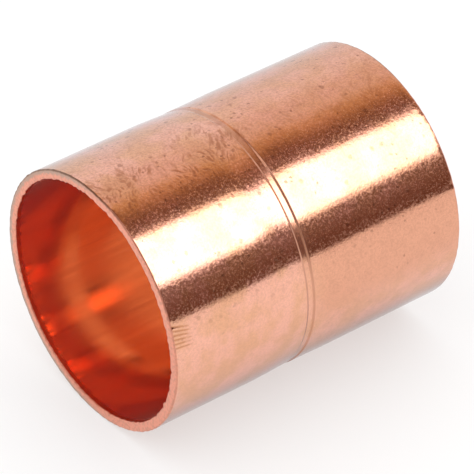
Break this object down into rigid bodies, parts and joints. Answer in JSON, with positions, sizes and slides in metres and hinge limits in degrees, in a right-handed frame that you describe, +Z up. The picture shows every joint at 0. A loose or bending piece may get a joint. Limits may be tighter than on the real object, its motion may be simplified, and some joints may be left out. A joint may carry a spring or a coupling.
{
  "type": "copper tube coupling",
  "caption": "Straight copper coupling for joining tube ends: plain cylindrical solder sockets, square-cut ends and a rolled ring stop between the sockets.",
  "frame": {"origin": "on the bore axis, half way between the two cut ends", "axes": "+X along the bore axis, away from the socket that lies nearer the rolled stop; +Z up as the fitting lies on its side"},
  "size_m": [0.0386, 0.0304, 0.0304],
  "materials": {
    "drawn_copper": "bright drawn copper, lightly tarnished in spots, polished inside the sockets"
  },
  "bodies": {
    "root": {"coupling_body": "drawn_copper"}
  },
  "joints": []
}
